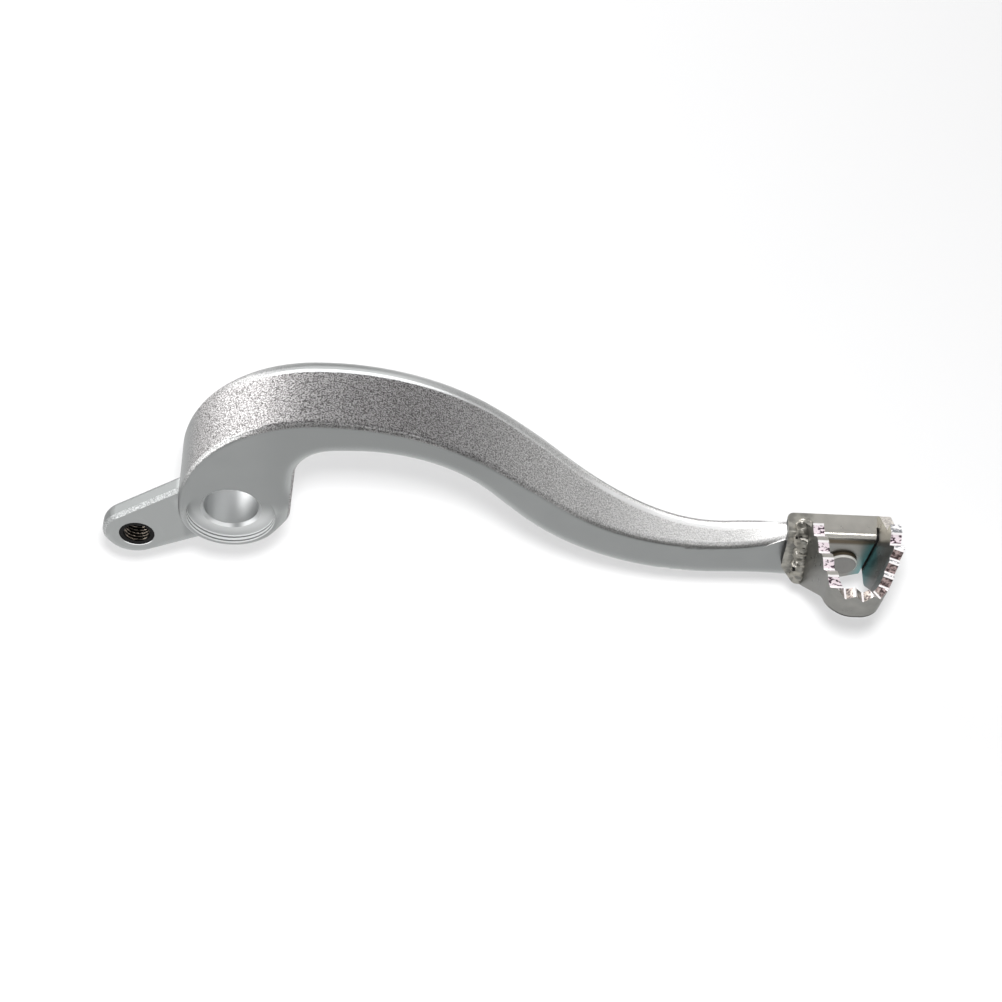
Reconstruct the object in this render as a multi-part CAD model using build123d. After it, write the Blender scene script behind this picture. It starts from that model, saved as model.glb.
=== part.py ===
from build123d import *
import math
import os

os.makedirs("parts", exist_ok=True)

# Driving sizes of the arm, mm and degrees
bore_dia = 18.0
boss_dia = 34.0
seal_wall = 2.6
seal_depth = 2.9
arm_width = 28.0
arch_height = 46.0
arm_depth = 14.0
web_thickness = 6.8
reach = 200.6
rivet_drop = 20.6
neck_length = 40.0
neck_thickness = 13.0
tongue_thickness = 5.7
edge_round = 2.0
back_round = 3.9

# Driving sizes of the lug and its thread insert
lug_reach = 39.0
lug_angle = 31.0
lug_thickness = 7.3
lug_set_back = 8.0
lug_wall = 4.7
lug_chamfer = 1.2
insert_dia = 11.8
thread_bore_dia = 8.0

# Driving sizes of the step
sheet = 3.0
loop_wall = 3.55
step_tilt = 4.0
step_width = 29.3
step_length = 35.2
seat_rise = 10.3
wall_rise = 11.0
knee = 15.2
tooth_pitch = 6.3
bracket_margin = 4.7
bracket_drop = 14.5
rivet_dia = 6.0
weld_r = 2.2

# Clearances
rivet_clearance = 0.05
seat_clearance = 0.02
slit = 0.6
overcut = 1.0

# Sizes that follow from the driving ones
boss_r = boss_dia / 2
bore_r = bore_dia / 2
seal_r = boss_r - seal_wall
rivet_r = rivet_dia / 2
near_y = -arm_width / 2
far_y = arm_width / 2


def cut_through(profile, y_from, y_to):
    """Side-view face extruded from one Y to another."""
    return Pos(0, y_to, 0) * extrude(Plane.XZ * profile, y_to - y_from)


def disc(x, z, radius, y_from, y_to):
    """Round bar along Y between two Y positions."""
    return cut_through(Pos(x, z) * Circle(radius), y_from, y_to)


def rounded(face, corners, radii):
    """Face with each named corner rounded to its own radius."""
    for corner, radius in zip(corners, radii):
        nearest = face.vertices().sort_by_distance((corner[0], corner[1], 0))[0]
        face = fillet(nearest, radius)
    return face


# Arm: side outline, a quarter circle over the pivot, then a falling curve to the neck
neck_x = reach - neck_length
neck_top = -rivet_drop + 3.6
neck_low = neck_top - arm_depth - 0.8
arch_x = arch_height - boss_r
under_z = arch_height - arm_depth
under_x = arch_x + 12
end_x = reach - 17.2
end_top = neck_top + 6.6
end_low = neck_low - 1.4
web_top = (boss_r + web_thickness, under_z)
web_foot = (boss_r + 2.0, -2.5)
foot_far = math.hypot(*web_foot)
foot_turn = math.atan2(web_foot[1], web_foot[0]) - math.acos(boss_r / foot_far)
foot_touch = (boss_r * math.cos(foot_turn), boss_r * math.sin(foot_turn))


def falling_curve(start, end, steepness, share):
    """Arc, straight and arc between two level ends; the first arc has a share of the two radii."""
    run = end[0] - start[0]
    drop = start[1] - end[1]
    slope = steepness * math.atan2(drop, run)
    radii = (run * math.sin(slope) - drop * math.cos(slope)) / (1 - math.cos(slope))
    first_r = share * radii
    last_r = radii - first_r
    turn = math.degrees(slope)
    first = CenterArc((start[0], start[1] - first_r), first_r, 90 - turn, turn)
    last = CenterArc((end[0], end[1] + last_r), last_r, 270 - turn, turn)
    return [first, Line(first @ 0, last @ 0), last]


outline = Curve() + [
    CenterArc((arch_x, 0), arch_height, 90, 90),
    *falling_curve((arch_x, arch_height), (neck_x, neck_top), 1.66, 0.53),
    Spline((neck_x, neck_top), (end_x, end_top), tangents=((1, 0), (1, 0.9))),
    Line((end_x, end_top), (end_x, end_low)),
    Spline((end_x, end_low), (neck_x, neck_low), tangents=((-1, 0.15), (-1, 0))),
    *falling_curve((under_x, under_z), (neck_x, neck_low), 1.82, 0.39),
    Line((under_x, under_z), web_top),
    Line(web_top, web_foot),
    Line(web_foot, foot_touch),
    CenterArc((0, 0), boss_r, 180, 180 + math.degrees(foot_turn)),
]
web_round = 13.5
foot_round = 10.0
side = rounded(make_face(outline.edges()), (web_top, web_foot), (web_round, foot_round))

# Arm: the far side narrows in plan from the full width to the neck, then to the tongue
neck_far = near_y + neck_thickness
taper_start = 0.42 * reach
taper_end = neck_x + 4
plan_end = end_x + 3
plan_far = neck_far - 6
plan_edge = Curve() + [
    Polyline((taper_start, far_y), (-2 * boss_dia, far_y), (-2 * boss_dia, near_y - overcut),
             (plan_end, near_y - overcut), (plan_end, plan_far)),
    Spline((plan_end, plan_far), (taper_end, neck_far), tangents=((-1, 0.6), (-1, 0))),
    Spline((taper_end, neck_far), (taper_start, far_y), tangents=((-1, 0), (-1, 0))),
]
plan = Pos(0, 0, -reach) * extrude(make_face(plan_edge.edges()), 2 * reach)
body = cut_through(side, near_y, far_y) & plan

# Arm: large rounding along the far rim, small rounding along the near rim
seams = body.edges().filter_by(Axis.Y) + body.edges().filter_by(Axis.Z)
rim = [edge for edge in body.edges() if edge not in seams]
back_rim = [edge for edge in rim if edge.bounding_box().max.Y > near_y + overcut]
body = fillet(back_rim, back_round)
front_rim = body.edges().filter_by(lambda edge: edge.bounding_box().max.Y < near_y + 0.01)
body = fillet(front_rim - front_rim.filter_by(Axis.Z), edge_round)

# Step frame: origin where the rivet axis meets the tongue, u along the step, w up from the rivet
step_frame = Plane((reach, near_y, -rivet_drop), x_dir=Vector(1, 0, 0).rotate(Axis.Y, step_tilt),
                   z_dir=Vector(0, 0, 1).rotate(Axis.Y, step_tilt)).location
loop_mid = -0.25
bracket_left = loop_mid - step_width / 2 - bracket_margin

# Arm: flat tongue that the step is riveted to
tongue_right = 6.5
tongue_left = bracket_left + 2.6
tongue_root = tongue_left - 9
tongue_face = make_face(Polyline(
    (tongue_root, -9), (tongue_root, 2), (tongue_left - 2, seat_rise - 3.5), (tongue_left, seat_rise),
    (tongue_right, seat_rise), (tongue_right, -6), (tongue_left + 5, 1.5 - bracket_drop), close=True).edges())
tongue = step_frame * cut_through(tongue_face, 0, tongue_thickness)

# Arm: lug for the push rod, set back from the near face
lug_x = -lug_reach * math.cos(math.radians(lug_angle))
lug_z = -lug_reach * math.sin(math.radians(lug_angle))
lug_r = insert_dia / 2 + lug_wall
lug_near = near_y + lug_set_back
lug_far = lug_near + lug_thickness
root_r = boss_r - 3
root_drop = 2.3
lug_rings = (Pos(0, -root_drop) * Circle(root_r)).edges() + (Pos(lug_x - 0.8, lug_z) * Circle(lug_r)).edges()
lug = cut_through(make_hull(lug_rings), lug_near, lug_far)
lug_rims = lug.edges().filter_by(Axis.Y, reverse=True).group_by(Axis.Y)
lug = fillet(lug_rims[-1], 0.44 * lug_thickness)
lug_front = lug.edges().filter_by(lambda edge: edge.bounding_box().max.Y < lug_near + 0.01)
lug = chamfer(lug_front, lug_chamfer)

# Arm: back of the boss, bore, seal recesses and holes
arm = body + tongue + lug + disc(0, 0, boss_r - 0.8, 0, far_y)
arm -= disc(0, 0, bore_r, near_y - overcut, far_y + overcut)
mouth_depth = 1.0
for face_y, inward in ((near_y, 1), (far_y, -1)):
    floor_y = face_y + inward * seal_depth
    open_y = face_y - inward * overcut
    arm -= disc(0, 0, seal_r, min(open_y, floor_y), max(open_y, floor_y))
    mouth = Cone(bore_r + mouth_depth, bore_r, mouth_depth, align=(Align.CENTER, Align.CENTER, Align.MIN))
    arm -= Pos(0, floor_y, 0) * Rot(-90 * inward, 0, 0) * mouth
arm -= disc(lug_x, lug_z, insert_dia / 2 + seat_clearance, lug_near - overcut, lug_far + overcut)
arm -= disc(reach, -rivet_drop, rivet_r + rivet_clearance, near_y - overcut, far_y)
export_step(arm, "parts/pedal_arm.step")

# Step: plan of the toothed loop, with walls that lean outwards as they rise
leg_top = seat_rise + sheet
crest = leg_top + wall_rise
tooth_depth = tooth_pitch / 2
loop_back = tongue_thickness + 4.3
loop_low = -bracket_drop - 2.1
left_lean = 4.0
right_lean = 8.0
upper_lean = 0.5
front_lean = 5.0
left_slope = 0.153
right_slope = 0.06
nose_slope = 0.406
inner_rounds = (6.2, 5.0, 3.0)
round_limits = (0.71, 0.52, 0.5)
round_fade = 70.0


def lean(degrees, drop):
    """Sideways shift of a wall that leans by an angle, at a drop below the crest."""
    return drop * math.tan(math.radians(degrees))


def right_wall(drop, v):
    """Outer face of the right wall at a drop below the crest; its root is nearly upright above the bracket."""
    root_shift = lean(upper_lean, min(drop, wall_rise)) + lean(right_lean, max(drop - wall_rise, 0))
    root_share = (knee + v) / (knee + loop_back)
    shift = root_share * root_shift + (1 - root_share) * lean(right_lean, drop)
    return loop_mid + step_width / 2 - right_slope * v - shift


def loop_plan(height, inset):
    """Plan of the loop at a height, with its walls drawn in by the inset."""
    drop = crest - height
    left = loop_mid - step_width / 2 + inset + lean(left_lean, drop)
    front = -step_length + inset + lean(front_lean, drop)
    knee_u = right_wall(drop, -knee) - inset
    corners = [
        (left - left_slope * loop_back, loop_back),
        (left - left_slope * front, front),
        (knee_u + nose_slope * (front + knee), front),
        (knee_u, -knee),
        (right_wall(drop, loop_back) - inset, loop_back),
    ]
    face = make_face(Polyline(*corners, close=True).edges())
    front_room = corners[2][0] - corners[1][0]
    radii = [min(inner * (1 - drop / round_fade) + loop_wall - inset, limit * front_room)
             for inner, limit in zip(inner_rounds, round_limits)]
    return Pos(0, 0, height) * rounded(face, corners[1:4], radii)


def loop_solid(inset):
    """Leaning prism that fills the loop's plan from below the step to above its teeth."""
    return loft([loop_plan(height, inset) for height in (loop_low, leg_top, crest + overcut)], ruled=True)


outer = loop_solid(0)
loop = outer - loop_solid(loop_wall)

# Step: side views that trim the two walls, high at the nose and low at the roots
nose_v = -step_length - 8
nose = [(nose_v, crest), (nose_v, crest - 12.4), (3 - step_length, crest - 12.6)]
haunch = (10 - step_length, crest - 14.5)
haunch_round = 12.0
heel = (-9.0, -4.9)
heel_round = 3.0
tooth_start = (-5.8, crest - tooth_depth)
bracket_back = tongue_thickness + 0.3
right_side = nose + [haunch, heel, (0, heel[1]), (0, seat_rise), (bracket_back, seat_rise)]
right_side += [(bracket_back, leg_top), (bracket_back - 2.4, leg_top + 3), tooth_start, (tooth_start[0], crest)]
left_side = nose + [haunch, (-sheet, 0.5 - bracket_drop), (-sheet, leg_top), (2.5, leg_top)]
left_side += [tooth_start, (tooth_start[0], crest)]


def wall_keep(points, rounds, radii):
    """Prism over the step's right half whose side view keeps one wall."""
    face = rounded(make_face(Polyline(*points, close=True).edges()), rounds, radii)
    return extrude(Plane.YZ * face, step_width)


right_keep = wall_keep(right_side, (heel, haunch), (heel_round, haunch_round))
left_keep = Pos(-step_width, 0, 0) * wall_keep(left_side, (haunch,), (haunch_round,))
step = (loop & right_keep) + (loop & left_keep)

# Step: bracket folded over the tongue, with a slit beside the right wall
bracket_low = -bracket_drop - 6
slit_side = loop_wall + slit
right_low = 0.45 * bracket_drop
section = make_face(Polyline((-sheet, bracket_low), (-sheet, leg_top), (bracket_back, leg_top),
                             (bracket_back, seat_rise), (0, seat_rise), (0, bracket_low), close=True).edges())
section = rounded(section, [(-sheet, leg_top)], [sheet])
front_points = [
    (bracket_left, leg_top + overcut),
    (bracket_left, -0.3 * bracket_drop),
    (bracket_left + 5.9, -bracket_drop),
    (right_wall(crest + right_low, -sheet) - slit_side, -right_low),
    (right_wall(wall_rise - overcut, -sheet) - slit_side, leg_top + overcut),
]
bracket_rounds = (4.0, 3.0, 0.8)
front_face = rounded(make_face(Polyline(*front_points, close=True).edges()), front_points[1:4], bracket_rounds)
bracket = Pos(bracket_left, 0, 0) * extrude(Plane.YZ * section, 2 * step_width)
bracket &= cut_through(front_face, -step_length, step_length)
back_corner = bracket.edges().filter_by(Axis.Z).sort_by_distance((bracket_left, bracket_back, leg_top))[0]
bracket = fillet(back_corner, 2.2)
bridge_front = 1.2
bridge = Pos(0, bridge_front, seat_rise) * Box(step_width, bracket_back - bridge_front, sheet, align=Align.MIN)
step += bracket + (bridge & outer)

# Step: V notches that leave the teeth, each cut square to its wall
notch_half = 0.86 * (tooth_depth + overcut)
notch_corners = Polyline((-notch_half, overcut), (0, -tooth_depth), (notch_half, overcut), close=True)
notch_bar = extrude(Plane.XZ * make_face(notch_corners.edges()), 4, both=True)


def notch(u, v, turn):
    """Notch at a place in plan, its length along the wall's normal."""
    return Pos(u, v, crest) * Rot(0, 0, turn) * notch_bar


left_edge = loop_mid - step_width / 2 + loop_wall / 2
right_edge = loop_mid + step_width / 2 - loop_wall / 2
left_pitch = 1.08 * tooth_pitch
nose_pitch = 0.88 * tooth_pitch
first_left = -9.2
first_right = -knee + 3.5
first_nose = -knee - 2.8
nose_turn = 90 - math.degrees(math.atan(nose_slope))
for count in range(int((step_length + first_left - 5) / left_pitch) + 1):
    v = first_left - count * left_pitch
    step -= notch(left_edge - left_slope * v, v, -90)
for count in range(2):
    step -= notch(-5.2 + count * nose_pitch, loop_wall / 2 - step_length, 0)
step -= notch(5.2, 2.9 - step_length, nose_turn / 2)
step -= notch(right_edge + 0.7, first_right, 90)
for count in range(int((step_length + first_nose - 5) / nose_pitch) + 1):
    v = first_nose - count * nose_pitch
    step -= notch(right_edge + right_slope * knee + nose_slope * (v + knee), v, nose_turn)

# Step: weld that closes the loop on the bracket, one ridge down the root and one along its top
weld_taper = 0.6 * weld_r
weld_u = loop_mid - step_width / 2 + 0.9
weld_top = leg_top - 0.6
weld_length = weld_top + bracket_drop - 3.4
weld_run = bracket_back


def weld_ridge(length):
    """Round ridge with tapered ends, standing on its upper end."""
    ridge = Pos(0, 0, -length / 2) * Cylinder(weld_r, length)
    return chamfer(ridge.edges().filter_by(GeomType.CIRCLE), weld_taper)


step += Pos(weld_u, 0.5 - sheet, weld_top) * Rot(0, -left_lean, 0) * weld_ridge(weld_length)
step += Pos(weld_u, -sheet, leg_top - 0.4) * Rot(90, 0, 0) * weld_ridge(weld_run)
step -= disc(0, 0, rivet_r + rivet_clearance, -2 * sheet, overcut)
export_step(step_frame * step, "parts/step_plate.step")

# Rivet: flat head on the bracket, formed tail behind the tongue
head_r = 1.65 * rivet_r
head_height = 0.65 * rivet_r
tail_r = 1.45 * rivet_r
head = disc(0, 0, head_r, -sheet - head_height, -sheet)
head = chamfer(head.edges().sort_by(Axis.Y)[0], 0.25 * head_height)
tail = disc(0, 0, tail_r, tongue_thickness, tongue_thickness + head_height)
tail = chamfer(tail.edges().sort_by(Axis.Y)[-1], 0.45 * head_height)
rivet = head + disc(0, 0, rivet_r, -sheet, tongue_thickness) + tail
export_step(step_frame * rivet, "parts/step_rivet.step")

# Thread insert, a hair below both faces of the lug
insert_inset = 0.2
mouth_chamfer = 0.5
insert = disc(lug_x, lug_z, insert_dia / 2, lug_near + insert_inset, lug_far - insert_inset)
insert -= disc(lug_x, lug_z, thread_bore_dia / 2, lug_near, lug_far)
mouth_edges = insert.edges().filter_by(GeomType.CIRCLE).group_by(SortBy.RADIUS)[0]
insert = chamfer(mouth_edges, mouth_chamfer)
export_step(insert, "parts/thread_insert.step")
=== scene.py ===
import math

import bpy
import numpy as np
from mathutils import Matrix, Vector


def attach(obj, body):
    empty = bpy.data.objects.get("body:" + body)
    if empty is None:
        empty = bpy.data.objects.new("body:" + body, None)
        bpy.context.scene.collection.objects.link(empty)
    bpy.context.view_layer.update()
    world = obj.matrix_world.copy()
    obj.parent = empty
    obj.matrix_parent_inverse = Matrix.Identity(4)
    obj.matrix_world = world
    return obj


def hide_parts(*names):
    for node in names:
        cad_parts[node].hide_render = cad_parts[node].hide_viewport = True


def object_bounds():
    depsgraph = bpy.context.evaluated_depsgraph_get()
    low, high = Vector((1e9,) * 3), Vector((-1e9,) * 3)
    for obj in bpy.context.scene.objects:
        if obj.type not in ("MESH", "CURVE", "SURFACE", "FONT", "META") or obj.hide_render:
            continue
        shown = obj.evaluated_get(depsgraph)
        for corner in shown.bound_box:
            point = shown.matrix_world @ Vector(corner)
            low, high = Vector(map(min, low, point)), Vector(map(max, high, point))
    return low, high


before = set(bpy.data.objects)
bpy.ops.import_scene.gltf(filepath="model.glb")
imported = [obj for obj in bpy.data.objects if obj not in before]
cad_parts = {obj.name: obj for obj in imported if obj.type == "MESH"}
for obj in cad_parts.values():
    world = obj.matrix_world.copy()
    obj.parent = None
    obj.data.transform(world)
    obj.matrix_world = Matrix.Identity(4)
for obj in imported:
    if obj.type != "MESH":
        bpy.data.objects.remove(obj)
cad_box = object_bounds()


# Arm: one aluminium casting with the pivot boss, the arched arm, the push-rod lug and the tongue.
# The cast skin is blasted, which leaves a fine grain on the outer rim; the slope and neck carry a painted
# highlight over it.
# The bore and the two seal recesses are turned after casting and keep fine rings.
class Shade:
    """One output of a material's nodes; arithmetic on it adds Math nodes to the same tree."""

    def __init__(self, tree, socket=None):
        self.tree = tree
        self.socket = socket

    def node(self, kind, settings=None, inputs=None, output=0):
        """New node of a kind, its settings first and then its sockets; gives back one of its outputs."""
        made = self.tree.nodes.new("ShaderNode" + kind)
        for name, value in (settings or {}).items():
            setattr(made, name, value)
        for name, value in (inputs or {}).items():
            if isinstance(value, Shade):
                self.tree.links.new(value.socket, made.inputs[name])
            else:
                made.inputs[name].default_value = value
        return Shade(self.tree, made.outputs[output]) if made.outputs else made

    def math(self, operation, first, second=0.0):
        """Math node of an operation on two values."""
        return self.node("Math", {"operation": operation}, {0: first, 1: second})

    def __add__(self, other):
        return self.math("ADD", self, other)

    def __radd__(self, other):
        return self.math("ADD", other, self)

    def __sub__(self, other):
        return self.math("SUBTRACT", self, other)

    def __rsub__(self, other):
        return self.math("SUBTRACT", other, self)

    def __mul__(self, other):
        return self.math("MULTIPLY", self, other)

    def __rmul__(self, other):
        return self.math("MULTIPLY", other, self)

    def __pow__(self, other):
        return self.math("POWER", self, other)

    def __neg__(self):
        return self.math("SUBTRACT", 0.0, self)

    def __abs__(self):
        return self.math("ABSOLUTE", self)

    def rise(self, low, high):
        """Goes smoothly from 0 to 1 as the value goes from low to high."""
        return self.node("MapRange", {"interpolation_type": "SMOOTHSTEP"},
                         {"Value": self, "From Min": low, "From Max": high})

    def fall(self, low, high):
        """Goes smoothly from 1 to 0 as the value goes from low to high."""
        return 1.0 - self.rise(low, high)

    def between(self, low, high, edge):
        """1 from low to high and 0 outside, with soft edges of a width."""
        return self.rise(low - edge, low) * self.fall(high, high + edge)

    def blend(self, first, second):
        """Colour that goes from the first to the second as this value goes from 0 to 1."""
        ends = [end if isinstance(end, Shade) else (*end, 1.0) for end in (first, second)]
        return self.node("Mix", {"data_type": "RGBA"}, {"Factor": self, 6: ends[0], 7: ends[1]}, 2)

    def speckle(self, place, scale, detail):
        """Noise of a scale in cells a metre, from 0 to 1."""
        return self.node("TexNoise", {}, {"Vector": place, "Scale": scale, "Detail": detail})

    def parts(self, vector, axes):
        """The named ones of a vector's X, Y and Z."""
        return [self.node("SeparateXYZ", {}, {"Vector": vector}, axis) for axis in axes]

    def into(self, shader, name):
        """Feeds one socket of a shader."""
        self.tree.links.new(self.socket, shader.inputs[name])


def new_finish(name):
    """Material with its surface shader, the start of its node expressions, and the place on the piece."""
    finish = bpy.data.materials.new(name)
    finish.use_nodes = True
    start = Shade(finish.node_tree)
    place = start.node("TexCoord", output="Object")
    return finish, finish.node_tree.nodes["Principled BSDF"], start, place


def off_axis(first, second):
    """Distance from an axis, from the two offsets square to it."""
    return (first * first + second * second) ** 0.5


def layered(colour, layers):
    """Colour with each layer laid over those before it, as far as the layer's mask is 1."""
    for mask, over in layers:
        colour = mask.blend(colour, over)
    return colour


def dress(piece, finish):
    """Gives a piece its only material."""
    piece.data.materials.clear()
    piece.data.materials.append(finish)


seal_r, seal_wall_r = 0.0145, (0.0125, 0.0135)
ring_pitch = 0.00145
bush_x, bush_z, bush_r = -0.03343, -0.02009, 0.0059
far_rim_y, neck_inset = 0.0140, 0.0150
slope_from, slope_to, neck_tip = 0.0843, 0.1646, 0.186
flat_turn = (0.70, 0.93)

aluminium, skin, start, place = new_finish("cast_aluminium")
facing = start.node("NewGeometry", output="Normal")
x, y, z = start.parts(place, "XYZ")
facing_y, facing_z = start.parts(facing, "YZ")
facing_near, below = -facing_y, -z
from_pivot = off_axis(x, z)
from_bush = off_axis(x - bush_x, z - bush_z)
from_far = far_rim_y - neck_inset * x.rise(slope_from, slope_to) - y

# Where each finish of the arm lies, and where light and shade are painted on it
turned = from_pivot.fall(seal_r, seal_r + 0.0001) * abs(facing_y).fall(0.85, 0.95)
near_side, far_side = facing_near.rise(*flat_turn), facing_y.rise(*flat_turn)
shoulder_run = x.rise(-0.010, 0.030) * (1.0 - 0.85 * x.rise(0.105, 0.135))
shoulder = from_far.fall(0.0044, 0.0068) * shoulder_run
# Painted light: the far shoulder is painted lighter past the crown.
shoulder_painted_light = shoulder * facing_y.fall(0.5, 0.9) * x.rise(0.038, 0.066)
# Painted highlight: a thin white line along the far shoulder.
far_highlight_line = from_far.between(0.0052, 0.0058, 0.0006) * shoulder_run * x.rise(0.002, 0.034)
blasted = (1.0 - near_side - far_side) * (1.0 - shoulder) * x.between(-0.007, neck_tip, 0.008)
# Painted highlight on the crown of the arch and painted shade where it starts to fall.
crown_highlight, descent_shade = x.between(0.024, 0.036, 0.008), x.between(0.058, 0.066, 0.010)
# Painted highlight over the grain on the top of the slope and neck, near white at the neck.
slope_highlight = (x.rise(0.050, 0.140) * x.fall(neck_tip, neck_tip + 0.004)
          * (1.0 - near_side) * facing_y.fall(0.15, 0.45))
# Painted shade: the near face is painted darker under the arch.
arch_side_shade = x.between(0.022, 0.076, 0.016)
# Painted shade on the left end of the arch, above the pivot.
left_end_shade = (1.0 - near_side) * x.fall(-0.013, -0.004) * z.rise(-0.004, 0.006)
# Painted highlight on the near rim at the left end of the arch.
front_edge_highlight = facing_near.between(0.20, 0.70, 0.15) * x.between(-0.006, 0.006, 0.010)
upper_edge = facing_z.rise(0.0, 0.2) * facing_near.fall(0.87, 0.97)
arch_edge = upper_edge * facing_near.rise(0.30, 0.45) * x.between(0.014, 0.066, 0.012)
# Painted shade: a dark line along the neck's near top edge.
neck_edge_shade = upper_edge * facing_near.rise(0.50, 0.62) * x.between(0.118, 0.172, 0.012)
# Painted highlight: a white line along the top of the neck.
neck_highlight_line = (from_far.between(0.0041, 0.0054, 0.0008) * x.between(0.124, 0.174, 0.012)
             * facing_z.rise(0.6, 0.8))

# The near face's lower edges are soft: there the bevelled facing leans down, and they get a painted reflection of
# the floor, lighter than the face
softened = start.node("Bevel", {"samples": 8}, {"Radius": 0.0068})
soft_y, soft_z = start.parts(softened, "YZ")
above_bore = z.rise(0.001, 0.007) * from_pivot.fall(0.020, 0.026)
off_holes = (from_pivot.rise(seal_r, seal_r + 0.0005) * from_bush.rise(0.0068, 0.0090)
             * (1.0 - above_bore))
soft_edge_reflection = near_side * off_holes * (1.0 + soft_y).rise(0.0, 0.09) * soft_z.fall(-0.02, 0.02)
lug_skin = x.fall(-0.0185, -0.0165)
# Painted highlight on the lug's near chamfer, and painted shade on the lug's top.
lug_edge_highlight = lug_skin * facing_near.between(0.50, 0.85, 0.10)
lug_top_shade = lug_skin * abs(facing_y).fall(0.35, 0.55)
# Painted highlight: a bright crescent on the rim under the bush.
bush_rim_highlight = (from_bush.between(bush_r - 0.0001, bush_r + 0.0003, 0.0002)
            * (bush_z - z).rise(0.0035, 0.0050) * near_side)
# Painted highlight: a bright crescent at the bore's mouth, darker at its middle.
mouth_highlight = (from_pivot.between(0.0091, 0.0100, 0.0001) * abs(facing_y).between(0.6, 0.8, 0.1)
         * below.rise(0.0045, 0.0080))
seal_wall = turned * from_pivot.rise(*seal_wall_r)
# Painted light: the lower half of the recess floor is painted lighter.
seal_floor_painted_light = (from_pivot.between(0.0095, seal_r, 0.0003) * below.rise(-0.003, 0.008)
              * (1.0 - turned) * near_side)

# Colours of the cast skin, the grain and the turned faces, and of the painted highlights, reflections and shade
grain = start.speckle(place, scale=2100.0, detail=1.0).rise(0.28, 0.72)
cloud = start.speckle(place, scale=90.0, detail=3.0)
rings = start.math("SINE", (from_pivot + y) * (2 * math.pi / ring_pitch)) * 0.5 + 0.5
pale_colour = cloud.blend((0.254, 0.263, 0.261), (0.284, 0.292, 0.290))
# The grain's light end is painted lighter on the crown and darker on the descent.
crown_grain = crown_highlight.blend((0.460, 0.450, 0.447), (0.540, 0.529, 0.525))
light_grain = descent_shade.blend(crown_grain, (0.400, 0.391, 0.388))
blasted_colour = grain.blend((0.080, 0.075, 0.074), light_grain)
front_highlight_colour = grain.blend((0.42, 0.42, 0.415), (0.95, 0.95, 0.94))
# Painted highlight colours of the slope and neck.
slope_highlight_colour = grain.blend((0.450, 0.445, 0.432), (1.0, 0.995, 0.980))
neck_highlight_colour = grain.blend((0.680, 0.675, 0.660), (1.0, 0.995, 0.980))
slope_to_neck_highlight = x.rise(0.100, 0.158).blend(slope_highlight_colour, neck_highlight_colour)
arch_edge_colour = grain.blend((0.22, 0.215, 0.212), (0.76, 0.75, 0.745))
lug_edge_highlight_colour = grain.blend((0.23, 0.237, 0.235), (0.50, 0.51, 0.51))
ring_colour = rings.rise(0.1, 0.5).blend((0.20, 0.205, 0.205), (0.76, 0.77, 0.77))
bore_colour = from_pivot.rise(*seal_wall_r).blend((0.54, 0.55, 0.55), ring_colour)
mouth_highlight_colour = abs(x - 0.0012).rise(0.0002, 0.0030).blend((0.30, 0.31, 0.31), (0.74, 0.75, 0.75))
layered(pale_colour, [
    (arch_side_shade, (0.247, 0.255, 0.253)),
    (left_end_shade, (0.200, 0.207, 0.205)),
    (shoulder_painted_light, (0.440, 0.450, 0.446)),
    (blasted, blasted_colour),
    (far_highlight_line, (0.62, 0.63, 0.63)),
    (front_edge_highlight, front_highlight_colour),
    (slope_highlight, slope_to_neck_highlight),
    (neck_highlight_line, (0.98, 0.98, 0.97)),
    (arch_edge, arch_edge_colour),
    (neck_edge_shade * 0.4, (0.12, 0.12, 0.118)),
    (soft_edge_reflection, (0.420, 0.432, 0.430)),
    (lug_skin * (1.0 - soft_edge_reflection), (0.325, 0.335, 0.332)),
    (lug_top_shade, (0.150, 0.156, 0.154)),
    (lug_edge_highlight, lug_edge_highlight_colour),
    (bush_rim_highlight, (0.92, 0.93, 0.93)),
    (turned, mouth_highlight.blend(bore_colour, mouth_highlight_colour)),
    (seal_floor_painted_light, (0.56, 0.57, 0.57)),
]).into(skin, "Base Color")

# Metal, roughness and relief of the arm; the shoulder's facing is tipped back, so that it reads as round
(1.0 - seal_wall * (0.45 + 0.35 * rings) - seal_floor_painted_light * 0.6 - mouth_highlight * 0.75).into(skin, "Metallic")
cast_roughness = 0.38 + blasted * (0.12 - 0.10 * grain) - shoulder * 0.10
turned_roughness = 0.48
(cast_roughness + turned * (turned_roughness - cast_roughness)).into(skin, "Roughness")
relief = seal_wall * rings * 1.2 + (1.0 - turned) * (blasted * grain + 0.08 * grain)
tip = start.node("CombineXYZ", {}, {"Y": 0.5 * shoulder * from_far.rise(0.0012, 0.0038)})
tipped = start.node("VectorMath", {"operation": "ADD"}, {0: facing, 1: tip})
rounded = start.node("VectorMath", {"operation": "NORMALIZE"}, {0: tipped})
cast_bump = {"Strength": 0.5, "Distance": 0.00008, "Height": relief, "Normal": rounded}
start.node("Bump", {}, cast_bump).into(skin, "Normal")
dress(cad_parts["pedal_arm"], aluminium)

# Thread insert: a blackened steel bush pressed into the lug, with the push rod's thread cut in it.
# The thread's crests stand at the bore that the solid has, and its roots go into the wall.
bush_near, bush_far = -0.0058, 0.0011
bore_r, bevel = 0.0040, 0.0005
thread_pitch, thread_depth = 0.00125, 0.00062
bore_rows, bush_sides = 70, 96
bush_sharp = 35
scene = bpy.context.scene


def grid_faces(rows, columns, rows_closed):
    """Quads between neighbouring points of a grid whose columns close; its rows may close too."""
    row = np.arange(rows if rows_closed else rows - 1)[:, None]
    column = np.arange(columns)[None, :]
    next_row = (row + 1) % rows
    next_column = (column + 1) % columns
    corners = [row * columns + column, row * columns + next_column,
               next_row * columns + next_column, next_row * columns + column]
    return np.stack([np.broadcast_to(c, (row.size, columns)) for c in corners], axis=-1).reshape(-1, 4)


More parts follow.
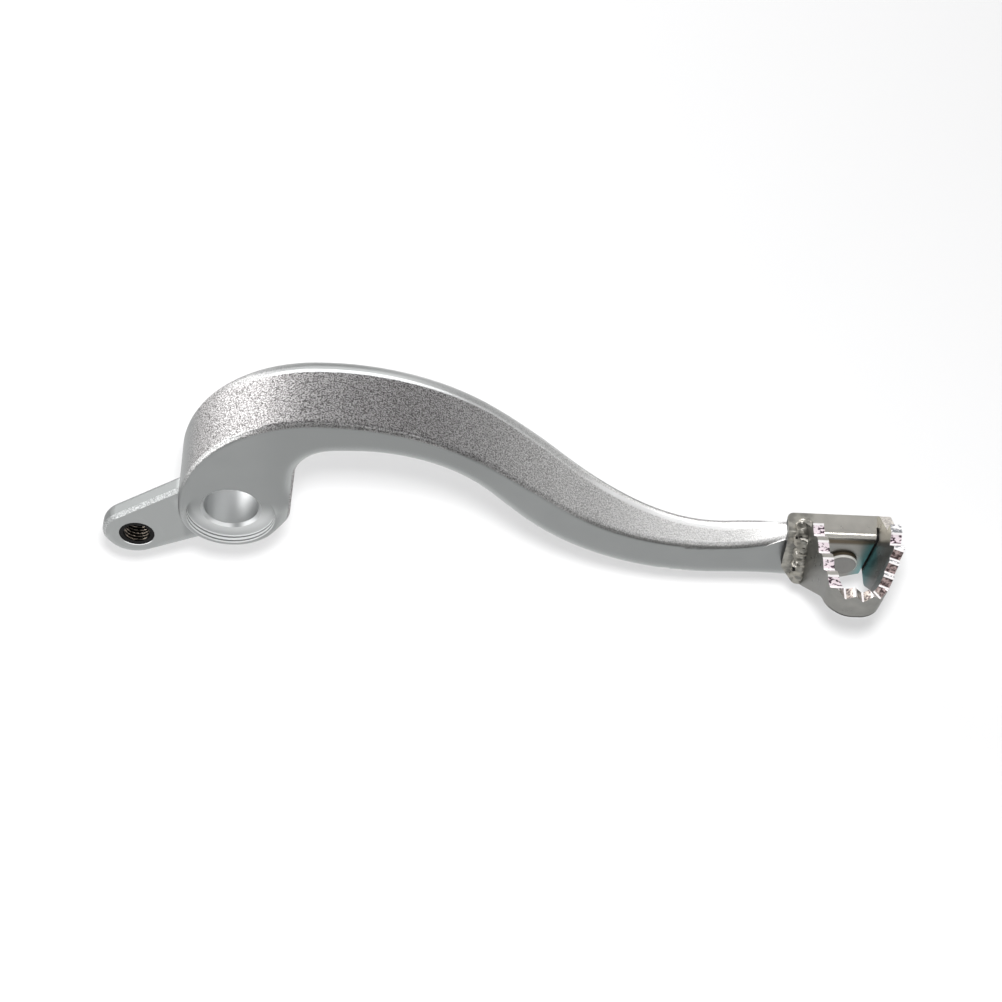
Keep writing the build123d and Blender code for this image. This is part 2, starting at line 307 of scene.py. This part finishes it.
def grid_piece(name, points, rows_closed, sharp):
    """Mesh object over a grid of points; open end rows are capped, and edges past an angle stay sharp."""
    rows, columns = points.shape[:2]
    faces = grid_faces(rows, columns, rows_closed).tolist()
    if not rows_closed:
        faces.append(list(range(columns))[::-1])
        faces.append(list(range((rows - 1) * columns, rows * columns)))
    mesh = bpy.data.meshes.new(name)
    mesh.from_pydata(points.reshape(-1, 3).tolist(), [], faces)
    mesh.polygons.foreach_set("use_smooth", np.ones(len(mesh.polygons), dtype=bool))
    mesh.set_sharp_from_angle(angle=math.radians(sharp))
    mesh.update()
    piece = bpy.data.objects.new(name, mesh)
    scene.collection.objects.link(piece)
    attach(piece, "root")
    return piece


def thread_points():
    """Round bush: its section runs down the bore and back up the outside; the bore's radius grows by
    the thread's depth times a clipped triangle wave of depth over pitch plus one turn round the axis."""
    bore_y = np.linspace(bush_far - bevel, bush_near + bevel, bore_rows)
    section_y = np.concatenate([[bush_far], bore_y, [bush_near, bush_near, bush_far]])
    section_r = np.concatenate([[bore_r + bevel], np.full(bore_rows, bore_r),
                                [bore_r + bevel, bush_r, bush_r]])
    cut = np.concatenate([[0], np.ones(bore_rows), [0, 0, 0]])
    turn = np.linspace(0, 2 * np.pi, bush_sides, endpoint=False)
    wave = (section_y[:, None] / thread_pitch + turn[None, :] / (2 * np.pi)) % 1.0
    ridge = np.clip(1.3 * np.abs(2 * wave - 1) - 0.1, 0, 1)
    radius = section_r[:, None] + cut[:, None] * thread_depth * ridge
    return np.stack([bush_x + radius * np.cos(turn), np.broadcast_to(section_y[:, None], radius.shape),
                     bush_z + radius * np.sin(turn)], axis=-1)


black, skin, start, place = new_finish("black_steel")
x, z = start.parts(place, "XZ")
from_bush = off_axis(x - bush_x, z - bush_z)
rubbed_crest = from_bush.fall(bore_r + 0.00005, bore_r + 0.00030)
wear = start.speckle(place, scale=500.0, detail=3.0)
crest_colour = wear.rise(0.35, 0.65).blend((0.03, 0.026, 0.022), (0.40, 0.34, 0.28))
rubbed_crest.blend((0.006, 0.006, 0.006), crest_colour).into(skin, "Base Color")
skin.inputs["Metallic"].default_value = 1.0
(0.20 + 0.2 * wear).into(skin, "Roughness")
start.node("Bump", {}, {"Strength": 0.2, "Distance": 0.00005, "Height": wear}).into(skin, "Normal")
bush = grid_piece("threaded_bush", thread_points(), True, bush_sharp)
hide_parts("thread_insert")
dress(bush, black)

# Step: a bracket folded over the tongue and a toothed loop bent from the same steel sheet.
# The sheet is plated dull, and the heat of the weld mottled it on the left and blued it by the slit.
# The teeth are cut last and carry dark tool marks; their flanks are painted lit or shaded by facing, with painted
# highlight lines at top and root.
step_x, step_y, step_z = 0.2006, -0.0140, -0.0206
step_tilt = math.radians(4.0)
sheet_top, tooth_root, tooth_tip = 0.0133, 0.02115, 0.0243
slit_u, slit_lean = 0.0098, 0.16
flat_top = (0.90, 0.96)

plated, skin, start, place = new_finish("plated_sheet")
facing = start.node("NewGeometry", output="Normal")
x, y, z = start.parts(place, "XYZ")
facing_x, facing_y, facing_z = start.parts(facing, "XYZ")
facing_left, facing_near = -facing_x, -facing_y
along = (x - step_x) * math.cos(step_tilt) - (z - step_z) * math.sin(step_tilt)
above = (x - step_x) * math.sin(step_tilt) + (z - step_z) * math.cos(step_tilt)
across = y - step_y

# Where each finish of the sheet lies, and where light and shade are painted on it
level = facing_z.rise(0.45, 0.85)
sheared = facing_y.rise(0.15, 0.3) * along.rise(0.009, 0.010) * level
# Painted light on the right wall's inner face, lightest on a patch by its root.
inner_right = facing_left.rise(0.6, 0.9) * along.rise(0.004, 0.006)
root_lit_patch = (across + 0.752 * above).rise(0.0047, 0.0058)
heated = along.fall(-0.0125, -0.0095) * (facing_near.rise(0.4, 0.7) + level) * above.fall(0.0150, 0.0180)
at_fold = above.rise(0.0085, 0.0100) * across.rise(-0.0032, -0.0030) * across.fall(0.0002, 0.0006)
# Painted highlight along the fold, with painted shade under it.
fold_highlight = facing_near.between(0.50, 0.80, 0.12) * at_fold
fold_shade = facing_near.rise(0.87, 0.98) * at_fold
fine = start.speckle(place, scale=1500.0, detail=2.0)
from_slit = abs(along - (slit_u + above * slit_lean))
inside = facing_y.fall(0.2, 0.5) * facing_x.fall(0.2, 0.5)
blued = (from_slit.fall(0.0012, 0.0062) * above.fall(0.0085, 0.0105) * across.rise(-0.013, -0.006)
         * inside * (0.6 + 0.4 * fine))
# Painted shade: the inner face seen through the slit is painted black.
slit_shade = (across.rise(-0.0036, -0.0030) * along.rise(0.006, 0.007) * above.fall(sheet_top - 0.001, sheet_top)
          * facing_left.rise(0.5, 0.8))
# Painted shade: dark lines on the sheet's left and lower cut edges.
left_edge_shade = facing_left.rise(0.6, 0.9) * along.fall(-0.0190, -0.0185)
bottom_edge_shade = above.fall(0.0121, 0.0125) * across.fall(-0.0330, -0.0290) * facing_z.rise(-0.5, -0.2)

# Where the teeth are cut, their painted highlight lines and shaded flanks, and the tool marks on them
on_flank = 1.0 - facing_z.rise(*flat_top) * along.fall(0.002, 0.006)
cut_teeth = above.rise(tooth_root - 0.0002, tooth_root) * facing_z.rise(0.25, 0.45) * on_flank
# Painted highlight lines along the top and root of the teeth.
edge_highlight_lines = (above.rise(tooth_tip - 0.0006, tooth_tip - 0.0005)
             + above.fall(tooth_root + 0.0003, tooth_root + 0.0005))
# Painted shade on flanks facing left and painted light on the others; at the nose the left-facing ones are the
# lighter.
turned_away = facing_left.rise(0.08, 0.2)
at_nose = across.fall(-0.0320, -0.0300) * along.fall(0.0055, 0.0065)
tool_run = {"Vector": place, "Rotation": (0.0, 0.0, 0.7), "Scale": (1.0, 1.8, 1.0)}
marks = start.speckle(start.node("Mapping", {}, tool_run), scale=850.0, detail=2.0)

# Colours of the sheet and of the teeth, with their painted light, highlights and shade
blotch = start.speckle(place, scale=260.0, detail=4.0)
scale = start.speckle(place, scale=380.0, detail=3.0).rise(0.3, 0.7)
flank_colour = blotch.blend((0.200, 0.200, 0.190), (0.325, 0.320, 0.300))
# Painted light: the level tops are a lit copy of the sheet's colour, the upright faces a shaded one.
lit_top_colour = blotch.blend((0.58, 0.56, 0.505), (0.76, 0.735, 0.67))
sheared_colour = fine.rise(0.35, 0.65).blend((0.29, 0.27, 0.255), (0.54, 0.51, 0.47))
inner_painted_light = root_lit_patch.blend((0.36, 0.365, 0.365), (0.82, 0.79, 0.72))
scale_colour = scale.blend((0.15, 0.147, 0.135), (0.46, 0.445, 0.395))
# Painted lit and shaded copies of the flank colour, also at the nose.
lit_flank_colour = marks.rise(0.41, 0.53).blend((0.06, 0.035, 0.05), (0.84, 0.74, 0.78))
shaded_flank_colour = marks.rise(0.42, 0.62).blend((0.05, 0.035, 0.035), (0.36, 0.28, 0.27))
nose_left = marks.rise(0.38, 0.60).blend((0.15, 0.12, 0.12), (0.66, 0.58, 0.52))
nose_right = marks.rise(0.36, 0.60).blend((0.12, 0.11, 0.10), (0.33, 0.31, 0.28))
tip_colour = marks.rise(0.44, 0.56).blend((0.20, 0.21, 0.22), (0.90, 0.88, 0.88))
# The lines are painted white highlights, except on the flat tops.
line_highlight_colour = facing_z.rise(*flat_top).blend((0.93, 0.90, 0.90), tip_colour)
tooth_colour = layered(turned_away.blend(lit_flank_colour, shaded_flank_colour), [
    (at_nose, turned_away.blend(nose_right, nose_left)),
    (edge_highlight_lines, line_highlight_colour),
])
layered(flank_colour, [
    (level, sheared.blend(lit_top_colour, sheared_colour)),
    (inner_right, inner_painted_light),
    (fold_shade, (0.12, 0.10, 0.075)),
    (fold_highlight, (0.92, 0.895, 0.83)),
    (heated * 0.7, scale_colour),
    (blued, (0.140, 0.330, 0.340)),
    (left_edge_shade + bottom_edge_shade, (0.05, 0.05, 0.047)),
    (slit_shade, (0.004, 0.004, 0.004)),
    (cut_teeth, tooth_colour),
]).into(skin, "Base Color")

# Metal, roughness and relief of the step
(1.0 - 0.7 * cut_teeth - 0.25 * fold_highlight).into(skin, "Metallic")
sheet_roughness = (0.22 + 0.16 * blotch + 0.2 * heated) * (1.0 - 0.4 * fold_highlight)
tooth_roughness = 0.30
(sheet_roughness + cut_teeth * (tooth_roughness - sheet_roughness)).into(skin, "Roughness")
skin.inputs["Specular Tint"].default_value = (0.6, 0.6, 0.6, 1.0)
relief = blotch * 0.5 + fine * 0.25 + heated * scale * 1.5 + cut_teeth * marks * 1.5
start.node("Bump", {}, {"Strength": 0.35, "Distance": 0.00012, "Height": relief}).into(skin, "Normal")
dress(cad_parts["step_plate"], plated)

# Weld: a flat lumpy bead laid over the fold and down the root of the loop's left wall.
# It is the sheet's own steel, molten and set, with pits and scale left on it, and painted glints.
bead_path = np.array([[-14.0, 3.6, 12.9], [-14.0, 0.5, 13.0], [-14.0, -1.6, 12.7], [-13.95, -2.4, 11.4],
                      [-13.8, -2.5, 8.0], [-13.4, -2.5, 3.0], [-12.9, -2.5, -4.0], [-12.35, -2.5, -11.2]]) * 0.001
bead_half, bead_height = 0.0032, 0.0020
bead_rows, bead_sides = 150, 40
bead_sharp = 80
lump_seed, lump_waves = 7, 22


def bead_points():
    """Flat tube along the bead's path; its half width and height grow by a sum of waves of mixed direction,
    and it narrows to a point at both ends by the square root of the distance from the end."""
    travel = np.concatenate([[0], np.cumsum(np.linalg.norm(np.diff(bead_path, axis=0), axis=1))])
    length = np.linspace(0, travel[-1], bead_rows)
    centre = np.stack([np.interp(length, travel, bead_path[:, axis]) for axis in range(3)], axis=-1)
    forward = np.gradient(centre, axis=0)
    forward /= np.linalg.norm(forward, axis=1, keepdims=True)
    side = np.broadcast_to([1.0, 0.0, 0.0], forward.shape)
    side = side - forward * np.sum(side * forward, axis=1, keepdims=True)
    side /= np.linalg.norm(side, axis=1, keepdims=True)
    up = np.cross(forward, side)
    turn = np.linspace(0, 2 * np.pi, bead_sides, endpoint=False)
    draw = np.random.default_rng(lump_seed)
    pitch = draw.uniform(0.4, 2.2, lump_waves)
    around = draw.integers(-4, 5, lump_waves)
    phase = draw.uniform(0, 2 * np.pi, lump_waves)
    run_mm = length[:, None] * 1000
    waves = np.sin(pitch * run_mm[..., None] + around * turn[None, :, None] + phase).mean(axis=-1)
    ends = np.clip(np.minimum(run_mm, run_mm[-1] - run_mm) / 2.0, 0.02, 1.0) ** 0.5
    swell = (1.06 + 0.75 * waves) * ends
    offset = (side[:, None, :] * (bead_half * np.cos(turn))[None, :, None]
              + up[:, None, :] * (bead_height * np.sin(turn))[None, :, None])
    u, v, w = np.moveaxis(centre[:, None, :] + swell[:, :, None] * offset, -1, 0)
    return np.stack([step_x + u * math.cos(step_tilt) + w * math.sin(step_tilt), step_y + v,
                     step_z - u * math.sin(step_tilt) + w * math.cos(step_tilt)], axis=-1)


weld_steel, skin, start, place = new_finish("weld_steel")
lump = start.speckle(place, scale=380.0, detail=3.0)
pit = start.speckle(place, scale=420.0, detail=2.0).rise(0.64, 0.69)
# Painted highlights: white glints scattered over the bead.
painted_glints = start.speckle(place, scale=460.0, detail=2.0).rise(0.62, 0.67)
set_colour = lump.rise(0.3, 0.7).blend((0.19, 0.183, 0.16), (0.40, 0.38, 0.335))
layered(set_colour, [(painted_glints, (0.98, 0.94, 0.86)), (pit, (0.01, 0.01, 0.01))]).into(skin, "Base Color")
skin.inputs["Metallic"].default_value = 1.0
(0.28 + 0.25 * lump).into(skin, "Roughness")
start.node("Bump", {}, {"Strength": 0.35, "Distance": 0.0005, "Height": lump - 0.8 * pit}).into(skin, "Normal")
bead = grid_piece("weld_bead", bead_points(), False, bead_sharp)
dress(bead, weld_steel)

# Rivet: a steel rivet that holds the bracket on the tongue, headed flat and plated with the step.
# Its head is turned, so faint rings run round it; its rim has a painted highlight at the front and painted shade
# towards the bracket.
head_r, collar_y = (0.00445, 0.00460), (-0.0043, -0.0040)
head_ring_pitch = 0.0005
rivet_steel, skin, start, place = new_finish("rivet_steel")
x, y, z = start.parts(place, "XYZ")
from_axis = off_axis(x - step_x, z - step_z)
blotch = start.speckle(place, scale=350.0, detail=4.0)
face_colour = blotch.blend((0.175, 0.172, 0.165), (0.245, 0.241, 0.231))
upset = from_axis.rise(*head_r)
# Painted highlight on the rim's front edge, painted shade towards the bracket.
rim_highlight_and_shade = (y - step_y).rise(*collar_y).blend((0.90, 0.88, 0.83), (0.10, 0.08, 0.055))
upset.blend(face_colour, rim_highlight_and_shade).into(skin, "Base Color")
(1.0 - 0.6 * upset).into(skin, "Metallic")
(0.28 + 0.2 * blotch).into(skin, "Roughness")
head_rings = start.math("SINE", from_axis * (2 * math.pi / head_ring_pitch)) * 0.5 + 0.5
head_bump = {"Strength": 0.2, "Distance": 0.00005, "Height": head_rings * 0.4 + blotch}
start.node("Bump", {}, head_bump).into(skin, "Normal")
dress(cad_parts["step_rivet"], rivet_steel)

# Floor: a wide pale sheet; the pedal hangs on its pivot a little above it.
# It glows to the eye and in reflections as far as its own light falls short of white.
floor_gap, floor_half = 0.030, 4.0
floor_level = cad_box[0][2] - floor_gap
floor_colour, floor_glow = (0.58, 0.58, 0.58, 1.0), 0.190
corners = np.array([[-1, -1, 0], [1, -1, 0], [1, 1, 0], [-1, 1, 0]]) * floor_half + [0, 0, floor_level]
floor_mesh = bpy.data.meshes.new("floor")
floor_mesh.from_pydata(corners.tolist(), [], [(0, 1, 2, 3)])
floor = bpy.data.objects.new("floor", floor_mesh)
scene.collection.objects.link(floor)
paper = bpy.data.materials.new("floor_paper")
paper.use_nodes = True
paper.node_tree.nodes.clear()
start = Shade(paper.node_tree)
to_eye, to_gloss, through = [start.node("LightPath", output="Is %s Ray" % kind)
                             for kind in ("Camera", "Glossy", "Transmission")]
glow = start.node("Emission", {}, {"Strength": (to_eye + to_gloss + through) * floor_glow})
matt = start.node("BsdfDiffuse", {}, {"Color": floor_colour})
sheet = start.node("AddShader", {}, {0: glow, 1: matt})
sheet.into(start.node("OutputMaterial"), "Surface")
floor_mesh.materials.append(paper)

# Light: a grey room that is darker on the viewer's side, with bright walls behind and to the left.
# A box overhead marks the fold, a box at the front left marks the lug's edge,
# and a small lamp just above the camera throws the shadow.
room = bpy.data.worlds.new("room")
room.use_nodes = True
scene.world = room
start = Shade(room.node_tree)
towards_y, = start.parts(start.node("TexCoord", output="Generated"), "Y")
room_colour = towards_y.rise(-0.7, 0.1).blend((0.16, 0.16, 0.16), (0.50, 0.50, 0.51))
room_colour.into(room.node_tree.nodes["Background"], "Color")


def soft_box(name, spot, aim, width, height, power):
    """Area lamp of a size and power at a spot, turned towards the aim."""
    lamp = bpy.data.lights.new(name, "AREA")
    lamp.shape = "RECTANGLE"
    lamp.size = width
    lamp.size_y = height
    lamp.energy = power
    holder = bpy.data.objects.new(name, lamp)
    holder.location = spot
    run = np.array(aim) - np.array(spot)
    holder.rotation_euler = (math.atan2(math.hypot(run[0], run[1]), -run[2]), 0.0, math.atan2(-run[0], run[1]))
    scene.collection.objects.link(holder)
    return holder


soft_box("left_wall", spot=(-0.60, 0.55, 0.36), aim=(0.0, 0.0, 0.03), width=0.56, height=0.80, power=5.4)
soft_box("back_wall", spot=(-0.05, 1.0, 0.28), aim=(0.0, 0.0, 0.0), width=1.3, height=0.5, power=6.7)
soft_box("top_box", spot=(0.40, -0.37, 0.74), aim=(0.20, 0.0, 0.0), width=0.16, height=0.12, power=0.36)
soft_box("front_left", spot=(-0.78, -0.38, 0.26), aim=(0.0, 0.0, 0.0), width=0.6, height=0.3, power=2.4)
shadow_lamp = soft_box("shadow_lamp", spot=(0.10, -0.445, 0.675), aim=(0.10, 0.0, 0.0),
                       width=0.07, height=0.07, power=6.2)
shadow_lamp.visible_glossy = False

# Camera: in front of the pedal and above it, square to its side.
# Its lens is long, so that the pedal keeps its proportions, and all of it is sharp.
lens = bpy.data.cameras.new("lens")
lens.lens = 90.0
lens.sensor_width = 36.0
lens.clip_start = 0.01
viewer = bpy.data.objects.new("viewer", lens)
viewer.location = (0.08796, -0.51138, 0.64438)
viewer.rotation_euler = (math.radians(38.0), 0.0, 0.0)
scene.collection.objects.link(viewer)
scene.camera = viewer
scene.view_settings.view_transform = "Standard"
